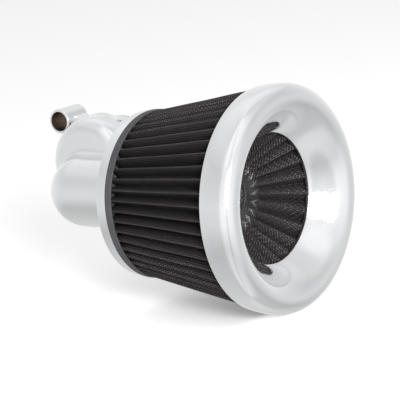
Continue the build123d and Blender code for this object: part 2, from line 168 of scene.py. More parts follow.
class BoltSizes(PropertyGroup):
    seat: length("Head seat", "Plane under the head", 0.1300)
    head_radius: length("Head radius", "Outside of the low domed head", 0.0095)
    head_height: length("Head height", "Height of the dome's crown", 0.0040)
    band: length("Band", "Straight side of the head", 0.0030)
    key: length("Key", "Half of the hexagon's width across flats", 0.0030)
    key_depth: length("Key depth", "Depth of the hexagon", 0.0030)
    shank_radius: length("Shank radius", "Outside of the thread", 0.0040)
    shank_length: length("Shank length", "Length under the head", 0.0260)
    pitch: length("Pitch", "Pitch of the thread", 0.00125)
    thread_depth: length("Thread depth", "Depth of the thread", 0.0006)


class FinishColours(PropertyGroup):
    chrome: colour("Chrome", "Chrome plate", "#f1f2f3")
    bore: colour("Lug bore", "Oil-stained bore of the breather lugs", "#46372f")
    bore_metal: colour("Bore metal", "Bare metal between the stains of the bores", "#8a7a6c")
    aluminium: colour("Aluminium", "Machined aluminium", "#d3d4d5")
    wire: colour("Wire", "Blackened wire cloth", "#423d3e")
    dusty_wire: colour("Dusty wire", "Wire cloth under a film of dust", "#5c5656")
    bare_wire: colour("Bare wire", "Bright cut ends of the wire", "#dcdcdc")
    cotton: colour("Cotton", "Oiled dark gauze behind the wire", "#0f0c0d")
    # painted shade: oil is the near-black colour that the wire cloth takes in the roots of its folds, in
    # place of the shade that falls there
    oil: colour("Oil", "Oil and dust in the roots of the folds", "#080707")
    base_rubber: colour("Base rubber", "Grey moulded urethane", "#37373a")
    tip_rubber: colour("Tip rubber", "Black moulded urethane", "#1b1b1d")
    seal_rubber: colour("Seal rubber", "Nitrile rubber", "#161617")
    bloom: colour("Bloom", "Pale bloom that rubber and urethane gather", "#5a5a5c")
    gasket: colour("Gasket", "Pressed fibre", "#6f6a5f")
    fibre: colour("Fibre", "Pale fibres in the gasket's face", "#958f80")
    cotton_thread: colour("Cotton thread", "Crowns of the oiled cotton threads", "#241c1d")
    zinc: colour("Zinc", "Zinc plated steel", "#c9ccd0")
    black_steel: colour("Black steel", "Blackened steel", "#2b2b2d")
    floor: colour("Floor", "Paper sweep", "#fafafa")


class StageSettings(PropertyGroup):
    camera_place: FloatVectorProperty(
        name="Camera place",
        description="Where the camera stands",
        default=(1.1866, -1.4730, 0.3321),
        unit="LENGTH",
    )
    camera_back: FloatVectorProperty(
        name="Camera back",
        description="Direction from the subject to the camera",
        default=(0.594, -0.780, 0.193),
    )
    camera_right: FloatVectorProperty(
        name="Camera right",
        description="Direction to the right of the picture",
        default=(0.803, 0.587, -0.0976),
    )
    lens: FloatProperty(name="Lens", description="Focal length in millimetres", default=234.0)
    floor_size: length("Floor size", "Side of the floor", 6.0)
    floor_glow: FloatProperty(name="Floor glow", description="Light from the lit paper itself", default=0.22)
    key_power: FloatProperty(name="Key light", description="Power of the key light in watts", default=48.0)
    top_power: FloatProperty(name="Top light", description="Power of the top light in watts", default=3.0)
    mirrored: FloatProperty(
        name="Mirrored walls",
        description="Brightness of the studio's walls in metal",
        default=1.06,
    )
    sky: FloatProperty(
        name="Sky",
        description="Brightness of the light from the studio's walls",
        default=0.78,
    )


# ---------------------------------------------------------------- surfaces
def surface(name, points, around=True, along=False, poles=(False, False), maps=None):
    """Closed mesh of a grid of points (rows, columns, 3).

    around joins the last column to the first and along the last row to the first. A pole is an end row that
    has shrunk to one point. Each of maps gives every grid corner two values, with a column more for the seam.
    """
    rows, columns = points.shape[:2]
    index = np.arange(rows * columns).reshape(rows, columns)
    index[0] = np.where(poles[0], index[0, 0], index[0])
    index[-1] = np.where(poles[1], index[-1, 0], index[-1])
    if around:
        index = np.hstack([index, index[:, :1]])
    if along:
        index = np.vstack([index, index[:1]])
    corners = np.stack([index[:-1, :-1], index[:-1, 1:], index[1:, 1:], index[1:, :-1]], -1)
    maps = maps or {}
    spread = {
        key: np.stack([m[:-1, :-1], m[:-1, 1:], m[1:, 1:], m[1:, :-1]], -2) for key, m in maps.items()
    }
    first, last = int(poles[0]), corners.shape[0] - int(poles[1])
    parts = [(slice(first, last), [0, 1, 2, 3])]
    if poles[0]:
        parts.append((slice(0, 1), [0, 2, 3]))
    if poles[1]:
        parts.append((slice(last, None), [0, 1, 2]))
    faces = [corners[rows_in][..., pick].reshape(-1, len(pick)) for rows_in, pick in parts]
    flat = points.reshape(-1, 3)
    step = -1 if signed_volume(flat, faces) < 0 else 1
    faces = [f[:, ::step] for f in faces]
    used, packed = np.unique(np.concatenate([f.ravel() for f in faces]), return_inverse=True)
    starts = np.cumsum([0] + [f.size for f in faces])
    rings = [packed[a:b].reshape(f.shape).tolist() for a, b, f in zip(starts[:-1], starts[1:], faces)]
    mesh = bpy.data.meshes.new(name)
    mesh.from_pydata(flat[used], [], sum(rings, []))
    for key, values in spread.items():
        layer = mesh.uv_layers.new(name=key)
        laid = [values[rows_in][..., pick, :][..., ::step, :].reshape(-1, 2) for rows_in, pick in parts]
        layer.data.foreach_set("uv", np.concatenate(laid).astype(np.float32).ravel())
    mesh.shade_smooth()
    return mesh


def signed_volume(points, faces):
    """Sum of the pyramids from the origin to each face's triangles; negative where faces point inwards."""
    total = 0.0
    for group in faces:
        a = points[group[:, 0]]
        for corner in range(1, group.shape[1] - 1):
            b, c = points[group[:, corner]], points[group[:, corner + 1]]
            total += np.einsum("ij,ij->", a, np.cross(b, c))
    return total


def round_filter(x, radius, angle):
    """Points at distance radius from the filter axis, at an angle from +Y towards +Z, at x along it."""
    x, radius, angle = np.broadcast_arrays(x, radius, angle)
    return np.stack([x, AXIS_Y + radius * np.cos(angle), AXIS_Z + radius * np.sin(angle)], -1)


def turns(count):
    """Evenly spaced angles of one turn, without the last one."""
    return np.arange(count) * 2 * pi / count


def turned(name, profile, columns=256, closed=True):
    """A profile of (x, radius) points carried round the filter axis.

    An open profile starts and ends on the axis.
    """
    profile = np.asarray(profile)
    points = round_filter(profile[:, :1], profile[:, 1:], turns(columns)[None, :])
    return surface(name, points, along=closed, poles=(not closed, not closed))


def rounded(corners, radii, closed=True, steps=6):
    """A polygon whose corners are replaced by arcs.

    Each arc is a quadratic curve between the two points that lie its radius from the corner along the sides.
    """
    corners = np.asarray(corners, float)
    before, after = np.roll(corners, 1, 0), np.roll(corners, -1, 0)
    if not closed:
        before[0], after[-1] = corners[0], corners[-1]
    radii = np.asarray(radii, float)[:, None]
    t = np.linspace(0, 1, steps)[None, :, None]

    def towards(other):
        side = other - corners
        reach = np.linalg.norm(side, axis=1, keepdims=True)
        return corners + side * np.divide(radii, reach, out=np.zeros_like(reach), where=reach > 0)

    start, end = towards(before)[:, None], towards(after)[:, None]
    arcs = (1 - t) ** 2 * start + 2 * t * (1 - t) * corners[:, None] + t**2 * end
    line = arcs.reshape(-1, 2)
    keep = np.r_[True, np.linalg.norm(np.diff(line, axis=0), axis=1) > 1e-7]
    return line[keep]


def finished(name, mesh, body, slot, material, *nodes):
    """Puts a mesh in the scene as a piece that rides on a body and stands for CAD nodes."""
    piece = bpy.data.objects.new(name, mesh)
    bpy.context.scene.collection.objects.link(piece)
    mesh.materials.clear()
    mesh.materials.append(material)
    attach(piece, body)
    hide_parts(*nodes)
    return piece


def finish_node(name, material):
    """Gives a CAD node its material."""
    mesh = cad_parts[name].data
    mesh.materials.clear()
    mesh.materials.append(material)


def cut(mesh, tool):
    """Takes the inside of a tool's mesh away from a mesh."""
    body = bpy.data.objects.new("cut_body", mesh)
    knife = bpy.data.objects.new("cut_tool", tool)
    for piece in (body, knife):
        bpy.context.scene.collection.objects.link(piece)
    modifier = body.modifiers.new("Cut", "BOOLEAN")
    modifier.operation = "DIFFERENCE"
    modifier.solver = "MANIFOLD"
    modifier.object = knife
    result = bpy.data.meshes.new_from_object(body.evaluated_get(bpy.context.evaluated_depsgraph_get()))
    for piece in (body, knife):
        bpy.data.objects.remove(piece)
    return result


# ---------------------------------------------------------------- elbow casting
ELBOW_HEART = (0.0, -0.042, -0.010)  # a point inside the elbow that sees all of its skin
LONGEST_RAY = 0.12
RAY_HALVINGS = 32
LEAN_SLOPE = 0.95  # the leaning cone's distance is measured square to the throttle axis, a little too long
ROD_SIDES = 24


def joined(a, b, reach):
    """Distance field of two bodies run together.

    Where both distances are within reach of each other their smaller one is lowered, which fills the corner.
    """
    share = np.clip(0.5 + 0.5 * (b - a) / reach, 0, 1)
    return b + (a - b) * share - reach * share * (1 - share)


def elbow_field(points, tube, hood, rear, front, edge, rim, fillet):
    """Distance from the elbow's body, negative inside.

    A capsule along the filter axis makes the bulb and tube, a short drum on the throttle axis with a rounded
    face makes the hood, and a leaning cone joins them.
    """
    x, y, z = np.moveaxis(points, -1, 0)
    depth = -y
    off_axis = np.hypot(y - AXIS_Y, z - AXIS_Z)
    bulb = np.hypot(off_axis, np.minimum(x, 0)) - tube
    corner = np.where(depth > (rear + front) / 2, edge, rim)
    side = np.hypot(x, z) - hood + corner
    end = np.abs(depth - (rear + front) / 2) - (front - rear) / 2 + corner
    drum = np.hypot(np.maximum(side, 0), np.maximum(end, 0)) + np.minimum(np.maximum(side, end), 0) - corner
    lean = (depth - rear) / (-AXIS_Y - rear)
    cone_radius = hood - rim + (tube - hood) * lean
    cone = LEAN_SLOPE * (np.hypot(x, z - AXIS_Z * lean) - cone_radius)
    cone = np.maximum(cone, np.maximum(rear + rim - depth, depth + AXIS_Y))
    return joined(joined(bulb, cone, fillet), drum, fillet)


def elbow_body(name, outlet, rows, columns, **shape):
    """Closed surface of an elbow.

    Rays from a point inside it are each as long as the field lets them be, and then the outlet's profile of
    (x, radius) points is turned about the filter axis.
    """
    heart = np.array(ELBOW_HEART)
    angle = turns(columns)
    ray = np.stack([np.cos(angle), np.sin(angle)], -1)
    # where each ray's plane leaves the tube's circle
    offset = heart[1:] - np.array([AXIS_Y, AXIS_Z])
    along = ray @ offset
    across = -along + np.sqrt(along**2 - offset @ offset + shape["tube"] ** 2)
    last = pi - np.arctan2(across, outlet[0][0])
    polar = np.linspace(0, 1, rows)[:, None] * last[None, :]
    away = np.stack(
        [-np.cos(polar), np.sin(polar) * ray[None, :, 0], np.sin(polar) * ray[None, :, 1]],
        -1,
    )
    near, far = np.zeros(polar.shape), np.full(polar.shape, LONGEST_RAY)
    for halving in range(RAY_HALVINGS):
        half = (near + far) / 2
        inside = elbow_field(heart + away * half[..., None], **shape) < 0
        near, far = np.where(inside, half, near), np.where(inside, far, half)
    body = heart + away * near[..., None]
    rim = body[-1, :, 1:] - np.array([AXIS_Y, AXIS_Z])
    around = np.arctan2(rim[:, 1], rim[:, 0])
    profile = np.asarray(outlet)
    pipe = round_filter(profile[1:, :1], profile[1:, 1:], around[None, :])
    return surface(name, np.concatenate([body, pipe]), poles=(True, True))


def quarter(start, end, corner, steps=8):
    """Quarter turn from start to end, bulging towards the corner point."""
    t = np.linspace(0, pi / 2, steps)[:, None]
    start, end, corner = np.array(start), np.array(end), np.array(corner)
    centre = start + end - corner
    return centre + (start - centre) * np.cos(t) + (end - centre) * np.sin(t)


class AIRCLEANER_OT_elbow(Operator):
    """Builds the chromed elbow with its fillets, its passage and its threaded holes"""

    bl_idname = "air_cleaner.elbow"
    bl_label = "Elbow casting"

    def execute(self, context):
        s = context.scene.air_cleaner_elbow
        register_front = s.flange_front + s.register_height
        fillet_start = (s.flange_rear - s.flange_fillet, s.tube_radius)
        fillet_end = (s.flange_rear, s.tube_radius + s.flange_fillet)
        flange = rounded(
            [
                fillet_end,
                (s.flange_rear, s.flange_radius),
                (s.flange_front, s.flange_radius),
                (s.flange_front, s.register_radius),
                (register_front, s.register_radius),
                (register_front, 0),
            ],
            [0, s.flange_edge, s.flange_edge, 0, s.flange_edge / 2, 0],
            closed=False,
        )
        outside = np.concatenate([quarter(fillet_start, fillet_end, (s.flange_rear, s.tube_radius)), flange])
        casting = elbow_body("elbow_casting", outside, 200, 280, tube=s.tube_radius, **self.hood(s, 0))
        seat = s.flange_front - s.seat_depth
        past = register_front + s.flange_edge
        flare_start = (seat - s.flare, s.tube_bore)
        flare_end = (seat, s.tube_bore + s.flare)
        inside = np.concatenate(
            [
                quarter(flare_start, flare_end, (seat, s.tube_bore)),
                [(seat, s.seat_radius), (past, s.seat_radius), (past, 0)],
            ]
        )
        passage = elbow_body(
            "elbow_passage", inside, 110, 150, tube=s.tube_bore, **self.hood(s, s.hood_wall)
        )
        casting = cut(casting, passage)
        casting = cut(casting, self.grub_holes(s))
        casting.set_sharp_from_angle(angle=radians(38))
        chrome = bpy.data.materials["Chromed casting"]
        finished("elbow_casting", casting, "elbow", "chromed_casting", chrome, "elbow_housing")
        return {"FINISHED"}

    def hood(self, s, wall):
        """Sizes of the hood, moved into the metal by wall."""
        return {
            "hood": s.hood_radius - wall,
            "rear": s.hood_rear - wall,
            "front": s.hood_front - wall,
            "edge": s.hood_edge - wall,
            "rim": s.rim_edge,
            "fillet": s.fillet,
        }

    def grub_holes(self, s):
        """Three rods straight out of the throttle axis, one through each grub screw."""
        low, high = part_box("hood_grub_screws")
        depth = (low[1] + high[1]) / 2
        rods = bpy.data.meshes.new("grub_holes")
        corners, faces = [], []
        circle = turns(ROD_SIDES)
        for angle in (pi / 3, pi, 5 * pi / 3):
            out = np.array([cos(angle), 0, sin(angle)])
            side = np.array([-sin(angle), 0, cos(angle)])
            up = np.array([0, 1, 0])
            ring = s.grub_radius * (np.cos(circle)[:, None] * side + np.sin(circle)[:, None] * up)
            first = len(corners)
            for reach in (s.hood_radius - 2 * s.hood_wall, s.hood_radius + s.hood_wall):
                corners.extend((ring + out * reach + np.array([0, depth, 0])).tolist())
            sides = np.arange(ROD_SIDES)
            nexts = (sides + 1) % ROD_SIDES
            walls = np.stack([sides, nexts, nexts + ROD_SIDES, sides + ROD_SIDES], -1)
            faces.extend((first + walls).tolist())
            faces.append((first + sides[::-1]).tolist())
            faces.append((first + sides + ROD_SIDES).tolist())
        rods.from_pydata(corners, [], faces)
        return rods


# ---------------------------------------------------------------- pleated packs
def fold(turn, bend=0.965):
    """Height of a row of folds, 1 on the crests and 0 in the roots.

    The arcsine of a cosine is a zigzag; a cosine drawn in a little keeps a small bend at each crest and root.
    """
    return 0.5 + np.arcsin(bend * np.cos(2 * pi * turn)) / (2 * asin(bend))


def wander(angle, x):
    """Slow unevenness of hand-set folds: three waves round the pack that drift along it, between -1 and 1."""
    waves = np.sin(5 * angle + 31 * x + 0.7) + np.sin(11 * angle - 47 * x + 2.1) + np.sin(23 * angle + 1.3)
    return waves / 3


def pleated(name, count, ends, insets, uneven, rows, samples, bare):
    """One layer of a pleated pack, a closed ring whose radius is root + depth * fold(angle).

    ends are (x, crest radius, root radius) at the two ends; the layer lies between the two insets from them.
    The outside runs from the first end to the second and the inside back again. The Relief map holds how near
    the side's own ridges a place is, which the wire cloth uses to paint shade into the roots of the folds,
    and how bare its wire is, which falls off within the length bare.
    """
    angle = turns(count * samples)[None, :]
    share = np.linspace(0, 1, rows)[:, None]
    share = np.concatenate([share, share[::-1]])
    inset = np.repeat(insets, rows)[:, None]
    (x0, crest0, root0), (x1, crest1, root1) = ends
    x = x0 + (x1 - x0) * share
    crest = crest0 + (crest1 - crest0) * share
    root = root0 + (root1 - root0) * share
    loose = uneven * np.sin(pi * share)
    height = fold(angle * count / (2 * pi) + loose * count * wander(angle, x) / (2 * pi * crest))
    radius = root + (crest - root) * height - inset + 0.5 * loose * wander(2 * angle + 1, 3 * x)
    points = round_filter(x, radius, angle)
    # unrolled place: length along the folds of the middle row, and along the pack, in metres
    ring = np.concatenate([points[rows // 2], points[rows // 2][:1]])
    run = np.r_[0, np.cumsum(np.linalg.norm(np.diff(ring, axis=0), axis=1))]
    along = np.r_[x[:, 0], x[0, 0]]
    cloth = np.stack(np.broadcast_arrays(run[None, :], along[:, None]), -1)
    ridge = np.where(np.arange(2 * rows)[:, None] < rows, height, 1 - height)
    cut_ends = np.clip(1 - (x - x0) / bare, 0, 1) if bare else np.zeros_like(x)
    relief = np.stack(np.broadcast_arrays(ridge, cut_ends), -1)
    relief = np.concatenate([relief, relief[:, :1]], 1)
    relief = np.concatenate([relief, relief[:1]], 0)
    return surface(name, points, along=True, maps={"Cloth": cloth, "Relief": relief})


def pack(prefix, count, ends, s, rows, samples, bare=0.0):
    """The three layers of a pack: wire cloth, gauze and wire cloth."""
    whole = 2 * s.mesh_layer + s.gauze_layer
    cloth = bpy.data.materials["Wire cloth"]
    gauze = bpy.data.materials["Oiled gauze"]
    layers = (
        ("outer_mesh", (0, s.mesh_layer), cloth, "wire_mesh", rows, samples),
        ("gauze", (s.mesh_layer, whole - s.mesh_layer), gauze, "filter_gauze", 6, 8),
        ("inner_mesh", (whole - s.mesh_layer, whole), cloth, "wire_mesh", rows, samples),
    )
    for layer, insets, material, slot, layer_rows, layer_samples in layers:
        name = f"{prefix}_{layer}_folds"
        mesh = pleated(name, count, ends, insets, s.unevenness, layer_rows, layer_samples, bare)
        finished(name, mesh, "filter", slot, material, f"{prefix}_{layer}")


class AIRCLEANER_OT_cone(Operator):
    """Builds the pleated cone: wire cloth, gauze and wire cloth in rounded folds"""

    bl_idname = "air_cleaner.cone"
    bl_label = "Pleated cone"

    def execute(self, context):
        s = context.scene.air_cleaner_packs
        taper = s.cone_front_radius / s.cone_rear_radius
        spread = (s.cone_front_radius - s.cone_rear_radius) / (s.cone_front - s.cone_rear)
        tucked = s.cone_rear_radius - s.tuck * spread
        ends = (
            (s.cone_rear - s.tuck, tucked, tucked - s.cone_depth),
            (s.cone_front, s.cone_front_radius, s.cone_front_radius - s.cone_depth * taper),
        )
        pack("cone", s.cone_pleats, ends, s, 24, 16)
        return {"FINISHED"}


class AIRCLEANER_OT_throat(Operator):
    """Builds the pleated inverted cone inside the bell mouth"""

    bl_idname = "air_cleaner.throat"
    bl_label = "Pleated inner cone"

    def execute(self, context):
        s = context.scene.air_cleaner_packs
        whole = 2 * s.mesh_layer + s.gauze_layer
        ends = (
            (s.tip, s.tip_radius + s.tip_depth + whole, s.tip_radius + whole),
            (s.throat, s.throat_radius + s.throat_depth + whole, s.throat_radius + whole),
        )
        pack("throat", s.throat_pleats, ends, s, 30, 24, s.bare_wire)
        return {"FINISHED"}


# ---------------------------------------------------------------- moulded ends
class AIRCLEANER_OT_moulded_ends(Operator):
    """Builds the base ring and the tip cap, and finishes the front end cap"""

    bl_idname = "air_cleaner.moulded_ends"
    bl_label = "Moulded ends"

    def execute(self, context):
        s = context.scene.air_cleaner_ends
        lip = s.base_front + s.base_lip
        inner_lip = s.base_radius - 1.2 * s.edge
        well = s.base_front - s.base_well
        base = rounded(
            [
                (s.base_rear, s.base_hole),
                (s.base_rear, s.base_radius),
                (lip, s.base_radius),
                (lip, inner_lip),
                (well, inner_lip - s.edge / 4),
                (well, s.base_hole),
            ],
            [s.edge, s.edge, s.edge / 2, s.edge / 2, s.edge / 2, s.edge],
        )
        grey = bpy.data.materials["Grey urethane"]
        black = bpy.data.materials["Black urethane"]
        ring = turned("base_ring_moulding", base)
        finished("base_ring_moulding", ring, "filter", "filter_rubber", grey, "base_ring")
        tip = rounded(
            [
                (s.tip_rear, s.bolt_hole),
                (s.tip_rear, s.tip_radius),
                (s.tip_front, s.tip_radius),
                (s.tip_front, s.recess_radius),
                (s.recess, s.recess_radius),
                (s.recess, s.bolt_hole),
            ],
            [s.edge / 2, s.edge, s.edge, s.edge, s.edge / 2, s.edge / 2],
        )
        cap = turned("tip_cap_moulding", tip, 160)
        finished("tip_cap_moulding", cap, "filter", "filter_rubber", black, "tip_cap")
        finish_node("front_end_cap", black)
        return {"FINISHED"}


# ---------------------------------------------------------------- bell mouth
def bell_profile(s):
    """Skirt, lip and funnel of the bell as one line, its sheet added along the normal and both edges rolled.

    The skirt is a straight line bowed out by a half sine, the lip a quarter circle, the funnel a cubic curve.
    """
    t = np.linspace(0, 1, 20)[:-1, None]
    rear = np.array([s.rear + s.sheet / 2, s.rear_radius])
    widest = np.array([s.widest, s.radius])
    skirt = rear + (widest - rear) * t + np.array([0, s.bulge]) * np.sin(pi * t)
    crest = np.array([s.widest + s.lip, s.radius - s.lip])
    lip = quarter(widest, crest, (crest[0], widest[1]), 24)[:-1]
    t = np.linspace(0, 1, 48)[:, None]
    end = np.array([s.throat, s.throat_radius])
    first = crest - np.array([0, s.lip])
    second = end + np.array([s.flare_along, s.flare_out])
    funnel = (1 - t) ** 3 * crest + 3 * t * (1 - t) ** 2 * first + 3 * t**2 * (1 - t) * second + t**3 * end
    outer = np.concatenate([skirt, lip, funnel])
    along = np.gradient(outer, axis=0)
    along /= np.linalg.norm(along, axis=1, keepdims=True)
    inward = np.stack([along[:, 1], -along[:, 0]], -1)
    inner = outer + s.sheet * inward

    def roll(start, end, out):
        turn = np.linspace(0, pi, 8)[1:-1, None]
        centre = (start + end) / 2
        return centre + (start - centre) * np.cos(turn) + out * s.sheet / 2 * np.sin(turn)

    front_roll = roll(outer[-1], inner[-1], along[-1])
    rear_roll = roll(inner[0], outer[0], -along[0])
    return np.concatenate([outer, front_roll, inner[::-1], rear_roll])


class AIRCLEANER_OT_bell(Operator):
    """Builds the chromed bell mouth with its rolled lip"""

    bl_idname = "air_cleaner.bell"
    bl_label = "Bell mouth"

    def execute(self, context):
        mesh = turned("bell_mouth_spinning", bell_profile(context.scene.air_cleaner_bell), 320)
        chrome = bpy.data.materials["Chromed spinning"]
        finished("bell_mouth_spinning", mesh, "filter", "chromed_spinning", chrome, "bell_mouth")
        return {"FINISHED"}


# ---------------------------------------------------------------- centre bolt
def bolt_surface(s, columns=72):
    """The bolt as one turned surface whose rows carry (x, radius, share of a hexagon, share of a thread).

    A hexagon's radius is its half width over the cosine of the angle from the nearest flat; a thread takes a
    triangle wave of x over the pitch, less the turn, off the radius.
    """
    floor, crown = s.seat + s.head_height - s.key_depth, s.seat + s.head_height
    dome_turn = np.linspace(0, 1, 20)
    rim = s.key * 1.35
    dome_height = s.head_height - s.band
    dome_radius = rim + (s.head_radius - rim) * np.sin(dome_turn * pi / 2)
    sphere = (s.head_radius**2 + dome_height**2) / (2 * dome_height)
    dome_x = crown - sphere + np.sqrt(sphere**2 - dome_radius**2)
    end = s.seat - s.shank_length
    shank = np.linspace(s.seat - s.shank_radius / 4, end + s.pitch, int(8 * s.shank_length / s.pitch))
    head = [
        (floor, 0, 1, 0),
        (floor, s.key, 1, 0),
        (dome_x[0] - 0.0006, s.key, 1, 0),
        (dome_x[0] - 0.0002, s.key * 1.08, 0.8, 0),
    ]
    dome = np.stack([dome_x, dome_radius, 0 * dome_x, 0 * dome_x], -1)
    under = [
        (s.seat + 0.0003, s.head_radius, 0, 0),
        (s.seat, s.head_radius - 0.0003, 0, 0),
        (s.seat, s.shank_radius, 0, 0),
    ]
    thread = np.stack([shank, 0 * shank + s.shank_radius, 0 * shank, 0 * shank + 1], -1)
    tail = [(end, s.shank_radius - s.thread_depth, 0, 0), (end, 0, 0, 0)]
    x, radius, hexagon, threaded = np.concatenate([head, dome, under, thread, tail]).T[..., None]
    angle = turns(columns)[None, :]
    flat = np.abs((angle % (pi / 3)) - pi / 6)
    hex_radius = radius / np.cos(pi / 6 - flat)
    wave = np.abs(((x / s.pitch - angle / (2 * pi)) % 1) * 2 - 1)
    shape = radius + hexagon * (hex_radius - radius) - threaded * s.thread_depth * wave
    return surface("centre_bolt_turned", round_filter(x, shape, angle), poles=(True, True))


class AIRCLEANER_OT_bolt(Operator):
    """Builds the domed centre bolt with its thread, and finishes its washer and seal"""

    bl_idname = "air_cleaner.bolt"
    bl_label = "Centre bolt"

    def execute(self, context):
        mesh = bolt_surface(context.scene.air_cleaner_bolt)
        mesh.set_sharp_from_angle(angle=radians(35))
        chrome = bpy.data.materials["Chromed bolt"]
        finished("centre_bolt_turned", mesh, "bolt", "chromed_bolt", chrome, "centre_bolt")
        finish_node("bolt_washer", bpy.data.materials["Zinc plated steel"])
        finish_node("bolt_seal", bpy.data.materials["Nitrile rubber"])
        return {"FINISHED"}


# ---------------------------------------------------------------- finishes
def linear(hex_value):
    """Linear colour of an sRGB hex value."""
    parts = np.array([int(hex_value[i : i + 2], 16) for i in (1, 3, 5)]) / 255
    return (*np.where(parts <= 0.04045, parts / 12.92, ((parts + 0.055) / 1.055) ** 2.4), 1.0)


def add(tree, kind, inputs=(), **settings):
    """Adds a node, with its settings and with values or links for its inputs."""
    made = tree.nodes.new(kind)
    for key, value in settings.items():
        setattr(made, key, value)
    for key, value in dict(inputs).items():
        if isinstance(value, bpy.types.NodeSocket):
            tree.links.new(value, made.inputs[key])
        else:
            made.inputs[key].default_value = value
    return made


def calc(tree, operation, *values):
    return add(tree, "ShaderNodeMath", dict(enumerate(values)), operation=operation).outputs["Value"]


def blend(tree, factor, a, b, **settings):
    inputs = {"Factor": factor, "A": a, "B": b}
    return add(tree, "ShaderNodeMix", inputs, data_type="RGBA", **settings).outputs["Result"]


def ranged(tree, value, span=(0.0, 1.0), to=(0.0, 1.0), **settings):
    """A value carried from one span to another."""
    inputs = {"Value": value, "From Min": span[0], "From Max": span[1], "To Min": to[0], "To Max": to[1]}
    return add(tree, "ShaderNodeMapRange", inputs, **settings).outputs["Result"]


def noise(tree, place, scale, detail, **more):
    inputs = {"Vector": place, "Scale": scale, "Detail": detail, **more}
    return add(tree, "ShaderNodeTexNoise", inputs).outputs["Fac"]


def bumped(tree, height, distance, **more):
    return add(tree, "ShaderNodeBump", {"Height": height, "Distance": distance, **more}).outputs["Normal"]


def new_finish(name):
    """The empty tree of a new material, and its object coordinates."""
    material = bpy.data.materials.new(name)
    material.use_nodes = True
    tree = material.node_tree
    tree.nodes.clear()
    return tree, add(tree, "ShaderNodeTexCoord").outputs["Object"]


def close_finish(tree, skin, roughness, normal, **more):
    """Puts a finish's shader on its output."""
    inputs = {"Base Color": skin, "Roughness": roughness, "Normal": normal, **more}
    shader = add(tree, "ShaderNodeBsdfPrincipled", inputs)
    add(tree, "ShaderNodeOutputMaterial", {"Surface": shader.outputs["BSDF"]})


def chrome_finish(name, plate, wave_mm, wave_height, haze, mark_mm=1.5):
    """Bright chrome plate over polished metal: a mirror that is almost white.

    The metal under it was polished by hand, which leaves slow waves wave_mm long, and a faint haze of fine
    polishing marks.
    """
    tree, place = new_finish(name)
    waves = noise(tree, place, 1000 / wave_mm, 1.0)
    marks = noise(tree, place, 1000 / mark_mm, 5.0)
    rough = ranged(tree, marks, (0.3, 0.7), (haze * 0.6, haze * 1.5))
    close_finish(tree, linear(plate), rough, bumped(tree, waves, wave_height, Strength=1.0), Metallic=1.0)


def plate_finish(name, colours, wave_mm=12, bore_edge=(0.00025, 0.0001)):
    """Chromed casting whose lug bores are bare: brown with oil, and rough from the boring tool.

    The bare metal starts within bore_edge of the bore's wall.
    """
    tree, place = new_finish(name)
    masks = []
    for angle in LUG_ANGLES:
        lug = (LUG_REACH * cos(angle), 0, LUG_REACH * sin(angle))
        flat = add(tree, "ShaderNodeVectorMath", {0: place, 1: (1, 0, 1)}, operation="MULTIPLY")
        away = add(tree, "ShaderNodeVectorMath", {0: flat.outputs["Vector"], 1: lug}, operation="DISTANCE")
        edge = (LUG_BORE + bore_edge[0], LUG_BORE + bore_edge[1])
        masks.append(ranged(tree, away.outputs["Value"], edge))
    bore = calc(tree, "MAXIMUM", *masks)
    oil = blend(tree, noise(tree, place, 350.0, 5.0), linear(colours.bore), linear(colours.bore_metal))
    metal = blend(tree, bore, linear(colours.chrome), oil)
    rough = ranged(tree, bore, to=(0.12, 0.42))
    normal = bumped(tree, noise(tree, place, 1000 / wave_mm, 1.0), 0.0003)
    close_finish(tree, metal, rough, normal, Metallic=1.0)


def metal_finish(name, shade, roughness, groove_mm):
    """Machined metal: grey and slightly rough, with fine rings left by the turning tool groove_mm apart."""
    tree, place = new_finish(name)
    to_axis = {"Vector": place, "Location": (0, -AXIS_Y, -AXIS_Z)}
    centred = add(tree, "ShaderNodeMapping", to_axis).outputs["Vector"]
    rings = add(
        tree,
        "ShaderNodeTexWave",
        {"Vector": centred, "Scale": 1000 / groove_mm / 6.2832, "Distortion": 0.6, "Detail": 2.0},
        wave_type="RINGS",
        rings_direction="X",
    ).outputs["Fac"]
    rough = ranged(tree, noise(tree, place, 260.0, 5.0), to=(roughness * 0.7, roughness * 1.4))
    close_finish(tree, linear(shade), rough, bumped(tree, rings, 0.00003), Metallic=1.0)


def rubber_finish(name, shade, bloom_shade, roughness, grain_mm):
    """Moulded rubber or urethane: matte, with a soft grain from the mould and a pale bloom in patches."""
    tree, place = new_finish(name)
    grain = noise(tree, place, 1000 / grain_mm, 6.0)
    tone = ranged(tree, noise(tree, place, 60.0, 4.0), (0.35, 0.7), (0.0, 0.25))
    skin = blend(tree, tone, linear(shade), linear(bloom_shade))
    close_finish(tree, skin, roughness, bumped(tree, grain, 0.00012, Strength=0.7), IOR=1.5)


def fibre_finish(name, shade, fibres, length_mm):
    """Pressed fibre sheet: dull, with pale fibres length_mm long that lie any way in its face."""
    tree, place = new_finish(name)
    strands = noise(tree, place, 1000 / length_mm, 8.0, Roughness=0.7, Distortion=2.0)
    skin = blend(tree, ranged(tree, strands, (0.45, 0.7)), linear(shade), linear(fibres))
    close_finish(tree, skin, 0.88, bumped(tree, strands, 0.00008), IOR=1.5)


def unrolled(tree, layer):
    """The two parts of a UV map."""
    flat = add(tree, "ShaderNodeUVMap", uv_map=layer).outputs["UV"]
    parts = add(tree, "ShaderNodeSeparateXYZ", {"Vector": flat}).outputs
    return parts["X"], parts["Y"]


